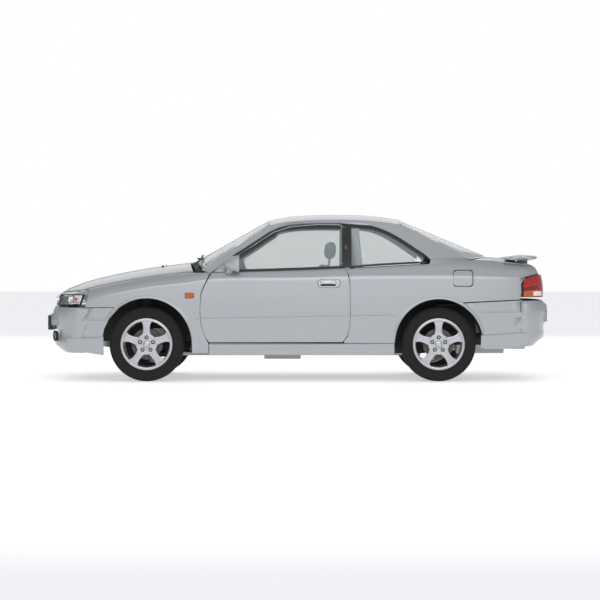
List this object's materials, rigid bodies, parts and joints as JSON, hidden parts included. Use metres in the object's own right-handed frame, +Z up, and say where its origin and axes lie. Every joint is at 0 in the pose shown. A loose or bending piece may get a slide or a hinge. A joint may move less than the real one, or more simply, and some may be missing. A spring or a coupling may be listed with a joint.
{
  "type": "coupe car",
  "caption": "Compact two-door notchback coupe with opening doors, hood, trunk lid and fuel flap, steering front wheels and a rear spoiler.",
  "frame": {"origin": "middle of the car on the ground: half way along it and across it, at the tyres' lowest points", "axes": "-X toward the front of the car, +Y toward its right-hand side, +Z up"},
  "size_m": [4.3254, 1.912, 1.4234],
  "materials": {
    "body_paint": "metallic silver, gloss clear coat",
    "underbody": "satin",
    "black_plastic": "matte",
    "dash_plastic": "grained matte",
    "lamp_lens": "clear gloss",
    "red_lens": "gloss lens",
    "tinted_glass": "clear, light tint",
    "seat_cloth": "woven",
    "cast_alloy": "cast",
    "cast_iron": "rough",
    "chassis_black": "satin",
    "exhaust_steel": "dull",
    "wheel_alloy": "silver painted",
    "tyre_rubber": "matte"
  },
  "bodies": {
    "car_body": {"floor_pan": "underbody", "roof_panel": "body_paint", "body_side_left": "body_paint", "body_side_right": "body_paint", "front_fender_left": "body_paint", "front_fender_right": "body_paint", "front_bumper": "body_paint", "rear_bumper": "body_paint", "side_skirts": "body_paint", "grille": "black_plastic", "headlamps": "lamp_lens", "taillamps": "red_lens", "windshield": "tinted_glass", "rear_window": "tinted_glass", "quarter_windows": "tinted_glass", "cowl_panel": "black_plastic", "wipers": "black_plastic", "dashboard": "dash_plastic", "front_seats": "seat_cloth", "rear_seat": "seat_cloth", "engine": "cast_alloy", "front_subframe": "chassis_black", "rear_axle": "chassis_black", "exhaust": "exhaust_steel", "fuel_tank": "black_plastic", "wheel_arch_liners": "black_plastic"},
    "door_left_body": {"door_left": "body_paint", "door_window_left": "tinted_glass", "door_mirror_left": "body_paint"},
    "knuckle_left": {"knuckle_left": "cast_iron"},
    "front_wheel_left": {"wheel_front_left": "wheel_alloy", "tyre_front_left": "tyre_rubber"},
    "rear_wheel_left": {"wheel_rear_left": "wheel_alloy", "tyre_rear_left": "tyre_rubber"},
    "door_right_body": {"door_right": "body_paint", "door_window_right": "tinted_glass", "door_mirror_right": "body_paint"},
    "knuckle_right": {"knuckle_right": "cast_iron"},
    "front_wheel_right": {"wheel_front_right": "wheel_alloy", "tyre_front_right": "tyre_rubber"},
    "rear_wheel_right": {"wheel_rear_right": "wheel_alloy", "tyre_rear_right": "tyre_rubber"},
    "hood_body": {"hood": "body_paint"},
    "trunk_body": {"trunk_lid": "body_paint", "rear_spoiler": "body_paint"},
    "fuel_flap_body": {"fuel_flap": "body_paint"},
    "steering_wheel_body": {"steering_wheel": "dash_plastic"}
  },
  "joints": [
    {"name": "steer_left", "type": "hinge", "parent": "car_body", "child": "knuckle_left", "pos_m": [-1.27961, -0.64, 0.316], "axis": [0, 0, 1], "range_deg": [-34, 34]},
    {"name": "spin_front_left", "type": "hinge", "parent": "knuckle_left", "child": "front_wheel_left", "pos_m": [-1.27961, -0.735, 0.316], "axis": [0, 1, 0], "continuous": true},
    {"name": "spin_rear_left", "type": "hinge", "parent": "car_body", "child": "rear_wheel_left", "pos_m": [1.18539, -0.735, 0.316], "axis": [0, 1, 0], "continuous": true},
    {"name": "door_hinge_left", "type": "hinge", "parent": "car_body", "child": "door_left_body", "pos_m": [-0.75846, -0.828, 0.6025], "axis": [0, 0, -1], "range_deg": [0, 65]},
    {"name": "steer_right", "type": "hinge", "parent": "car_body", "child": "knuckle_right", "pos_m": [-1.27961, 0.64, 0.316], "axis": [0, 0, 1], "range_deg": [-34, 34]},
    {"name": "spin_front_right", "type": "hinge", "parent": "knuckle_right", "child": "front_wheel_right", "pos_m": [-1.27961, 0.735, 0.316], "axis": [0, 1, 0], "continuous": true},
    {"name": "spin_rear_right", "type": "hinge", "parent": "car_body", "child": "rear_wheel_right", "pos_m": [1.18539, 0.735, 0.316], "axis": [0, 1, 0], "continuous": true},
    {"name": "door_hinge_right", "type": "hinge", "parent": "car_body", "child": "door_right_body", "pos_m": [-0.75846, 0.828, 0.6025], "axis": [0, 0, 1], "range_deg": [0, 65]},
    {"name": "hood_hinge", "type": "hinge", "parent": "car_body", "child": "hood_body", "pos_m": [-0.91355, 0, 0.985], "axis": [0, 1, 0], "range_deg": [0, 50]},
    {"name": "trunk_hinge", "type": "hinge", "parent": "car_body", "child": "trunk_body", "pos_m": [1.47149, 0, 1.04], "axis": [0, -1, 0], "range_deg": [0, 70]},
    {"name": "fuel_flap_hinge", "type": "hinge", "parent": "car_body", "child": "fuel_flap_body", "pos_m": [1.33145, -0.822, 0.872], "axis": [0, 0, -1], "range_deg": [0, 85]},
    {"name": "steering_wheel_turn", "type": "hinge", "parent": "car_body", "child": "steering_wheel_body", "pos_m": [-0.42661, -0.35, 0.853], "axis": [0.9272, 0, 0.3746], "range_deg": [-540, 540]}
  ],
  "couplings": [
    {"joint": "steer_right", "follows": "steer_left", "ratio": 1},
    {"joint": "steering_wheel_turn", "follows": "steer_left", "ratio": 15.4}
  ]
}
